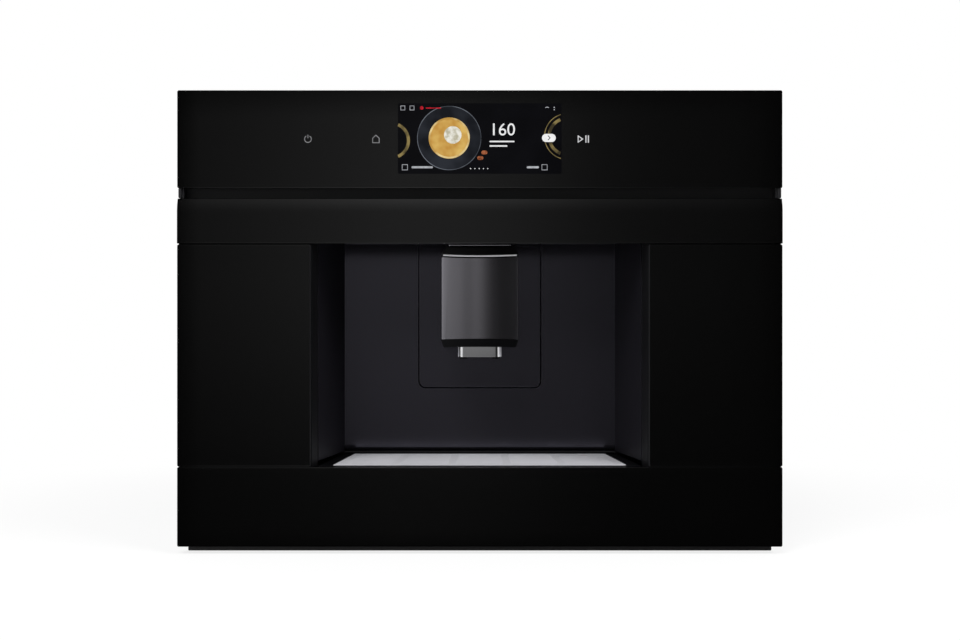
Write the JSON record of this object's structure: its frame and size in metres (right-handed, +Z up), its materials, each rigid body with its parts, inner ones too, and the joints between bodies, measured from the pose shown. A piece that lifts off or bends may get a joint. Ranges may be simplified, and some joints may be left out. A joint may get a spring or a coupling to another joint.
{
  "type": "built-in coffee machine",
  "caption": "Fully automatic coffee machine for a cabinet niche: black glass front, open cup niche with a height-adjustable outlet, drip tray and a hinged door over its containers.",
  "frame": {"origin": "middle of the underside of the whole machine, halfway between its front glass and its rear panel", "axes": "+X to the right as the user sees the front, +Y back into the cabinet, +Z up; the front faces -Y"},
  "size_m": [0.594, 0.377, 0.455],
  "materials": {
    "black_glass": "polished glass, printed black behind",
    "display": "gloss screen",
    "black_metal": "black anodised, satin",
    "black_plastic": "moulded, satin",
    "niche_plastic": "moulded, fine matt",
    "dark_steel": "dark coated, satin",
    "steel": "brushed stainless",
    "zinc_sheet": "galvanised sheet",
    "grey_plastic": "moulded, matt",
    "clear_plastic": "clear moulded",
    "circuit_board": "solder mask",
    "aluminium": "die cast",
    "brass": "machined",
    "red_plastic": "moulded",
    "diffuser": "opal",
    "silicone": "smooth"
  },
  "bodies": {
    "chassis": {"base_plate": "zinc_sheet", "left_side_panel": "zinc_sheet", "right_side_panel": "zinc_sheet", "rear_panel": "zinc_sheet", "top_cover": "zinc_sheet", "front_flange": "zinc_sheet", "equipment_deck": "zinc_sheet", "plinth_trim": "black_plastic", "door_magnet": "dark_steel", "control_panel_glass": "black_glass", "control_panel_carrier": "black_plastic", "display_module": "display", "touch_sensor_film": "circuit_board", "control_board": "circuit_board", "lower_hinge": "zinc_sheet", "upper_hinge": "zinc_sheet", "niche_housing": "niche_plastic", "outlet_guide_panel": "niche_plastic", "niche_lamp": "diffuser", "drip_tray": "black_plastic", "left_guide_rod": "steel", "right_guide_rod": "steel", "water_tank": "clear_plastic", "tank_lid": "black_plastic", "bean_hopper": "clear_plastic", "hopper_lid": "black_plastic", "grounds_container": "black_plastic", "right_fascia": "black_plastic", "grinder_motor": "dark_steel", "grinder_housing": "grey_plastic", "outer_burr": "steel", "brew_unit_frame": "grey_plastic", "brew_unit_cover": "black_plastic", "brew_motor": "dark_steel", "pump": "dark_steel", "thermoblock": "aluminium", "pressure_hose": "silicone", "brew_hose": "silicone", "power_board": "circuit_board", "mains_inlet": "black_plastic"},
    "door": {"handle_bar": "black_metal", "left_glass": "black_glass", "right_glass": "black_glass", "lower_glass": "black_glass", "door_frame": "black_plastic", "left_door_liner": "niche_plastic", "right_door_liner": "niche_plastic"},
    "outlet": {"outlet_body": "black_plastic", "outlet_cover": "dark_steel", "outlet_cap": "dark_steel", "outlet_spout": "steel", "outlet_carriage": "grey_plastic"},
    "grate": {"drip_grate": "steel"},
    "float": {"tray_float": "red_plastic"},
    "burr": {"inner_burr": "steel"},
    "grind_selector": {"grind_knob": "grey_plastic"},
    "spindle": {"brew_spindle": "brass"},
    "piston": {"brew_piston": "grey_plastic"},
    "pinion": {"brew_pinion": "brass"},
    "latch": {"latch_lever": "red_plastic"}
  },
  "joints": [
    {"name": "door_hinge", "type": "hinge", "parent": "chassis", "child": "door", "pos_m": [-0.29, -0.1765, 0.156], "axis": [0, 0, -1], "range_deg": [0, 110]},
    {"name": "outlet_slide", "type": "slide", "parent": "chassis", "child": "outlet", "axis": [0, 0, 1], "range_m": [-0.035, 0.044]},
    {"name": "grate_lift", "type": "slide", "parent": "chassis", "child": "grate", "axis": [0, 0, 1], "range_m": [0, 0.06]},
    {"name": "float_rise", "type": "slide", "parent": "chassis", "child": "float", "axis": [0, 0, 1], "range_m": [0, 0.008]},
    {"name": "burr_spin", "type": "hinge", "parent": "chassis", "child": "burr", "pos_m": [-0.217, 0.0185, 0.24], "axis": [0, 0, 1], "continuous": true},
    {"name": "grind_selector_turn", "type": "hinge", "parent": "chassis", "child": "grind_selector", "pos_m": [-0.184, -0.15, 0.26], "axis": [0, 1, 0], "range_deg": [-60, 60]},
    {"name": "spindle_turn", "type": "hinge", "parent": "chassis", "child": "spindle", "pos_m": [-0.193, -0.0835, 0.17], "axis": [0, 0, 1], "range_deg": [0, 1350]},
    {"name": "piston_press", "type": "slide", "parent": "chassis", "child": "piston", "axis": [0, 0, -1], "range_m": [0, 0.0601]},
    {"name": "pinion_spin", "type": "hinge", "parent": "chassis", "child": "pinion", "pos_m": [-0.193, -0.0605, 0.11], "axis": [0, 0, 1], "range_deg": [-2701, 1]},
    {"name": "latch_turn", "type": "hinge", "parent": "chassis", "child": "latch", "pos_m": [-0.226, -0.1555, 0.222], "axis": [0, 1, 0], "range_deg": [0, 90]}
  ],
  "couplings": [
    {"joint": "piston_press", "follows": "spindle_turn", "m_per_rad": 0.0025464},
    {"joint": "pinion_spin", "follows": "spindle_turn", "ratio": -2}
  ]
}
